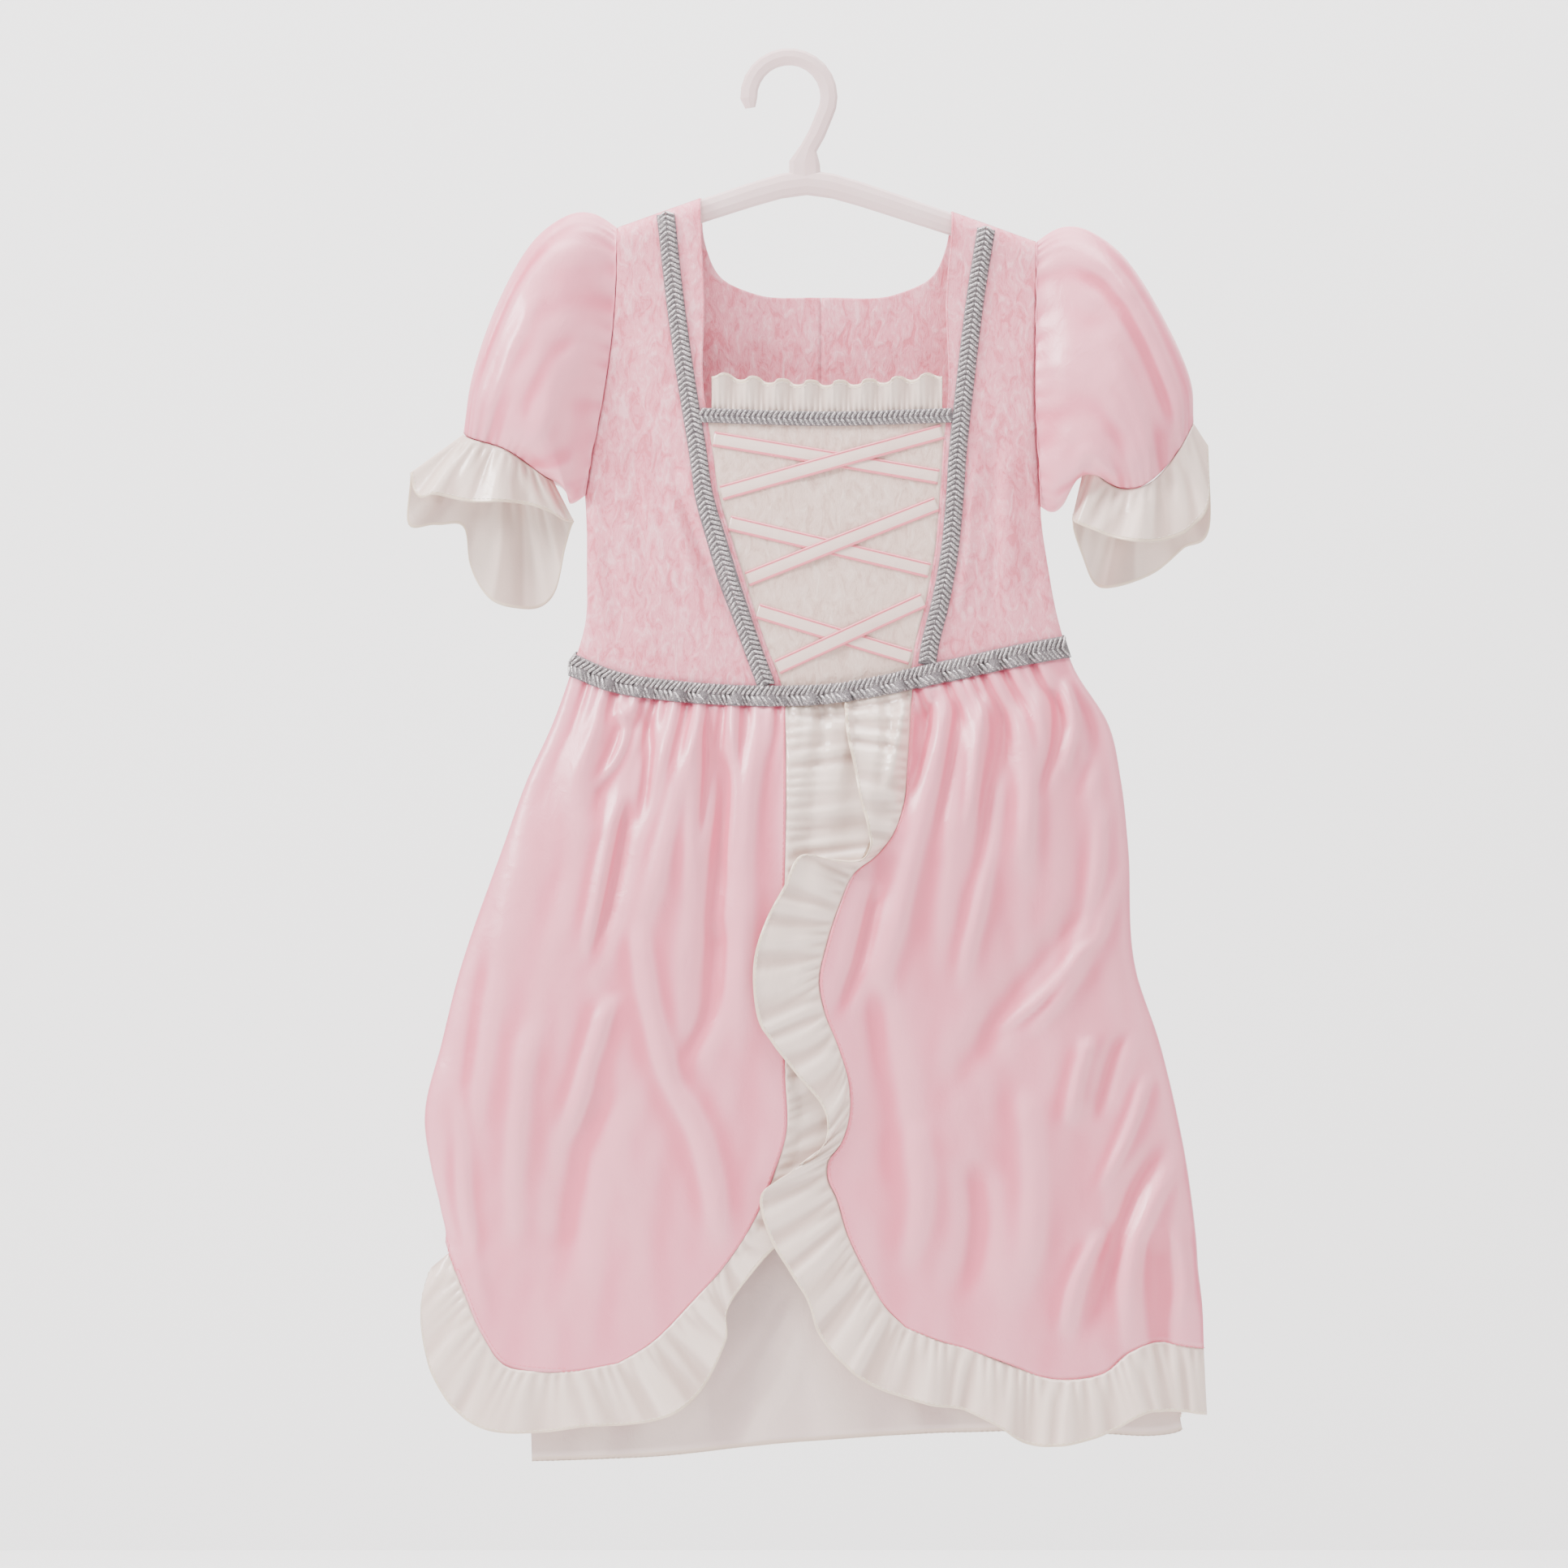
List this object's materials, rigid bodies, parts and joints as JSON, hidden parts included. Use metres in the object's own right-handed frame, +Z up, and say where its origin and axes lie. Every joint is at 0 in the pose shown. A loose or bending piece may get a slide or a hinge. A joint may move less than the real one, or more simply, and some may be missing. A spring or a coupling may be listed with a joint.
{
  "type": "costume dress on a hanger",
  "caption": "Child's princess costume dress with puffed sleeves, laced bodice, silver braid and ruffled split overskirt, hanging flat on its hanger",
  "frame": {"origin": "the point inside the top of the hanger's hook, where a rod touches it", "axes": "+Z up; +X to the right of a viewer who faces the front; +Y from the front of the dress to its back"},
  "size_m": [0.4456, 0.0633, 0.7834],
  "materials": {
    "pink_satin": "pale pink satin with a soft sheen",
    "pink_velvet": "crushed pink velvet",
    "ivory_satin": "thin ivory satin",
    "ivory_velvet": "soft ivory panne velvet",
    "underskirt_cloth": "plain matt ivory cloth",
    "lace_ribbon": "ivory satin ribbon with pink stitched edges",
    "silver_braid": "braid of silver metallic yarn",
    "hanger_plastic": "cloudy pale pink moulded plastic"
  },
  "bodies": {
    "root": {"hanger": "hanger_plastic", "bodice_front_left": "pink_velvet", "bodice_front_right": "pink_velvet", "bodice_front_centre": "ivory_velvet", "bodice_back_left": "pink_velvet", "bodice_back_right": "pink_velvet", "lace_ribbon_1_under": "lace_ribbon", "lace_ribbon_1_over": "lace_ribbon", "lace_ribbon_2_under": "lace_ribbon", "lace_ribbon_2_over": "lace_ribbon", "lace_ribbon_3_under": "lace_ribbon", "lace_ribbon_3_over": "lace_ribbon", "braid_left": "silver_braid", "braid_right": "silver_braid", "braid_neckline": "silver_braid", "braid_waist_front": "silver_braid", "braid_waist_back": "silver_braid", "neck_ruffle": "ivory_satin", "sleeve_left": "pink_satin", "sleeve_right": "pink_satin", "sleeve_cuff_left": "ivory_satin", "sleeve_cuff_right": "ivory_satin", "skirt_left": "pink_satin", "skirt_right": "pink_satin", "skirt_back": "pink_satin", "skirt_ruffle_left": "ivory_satin", "skirt_ruffle_right": "ivory_satin", "skirt_ruffle_back": "ivory_satin", "underskirt_front": "underskirt_cloth", "underskirt_back": "underskirt_cloth"}
  },
  "joints": []
}
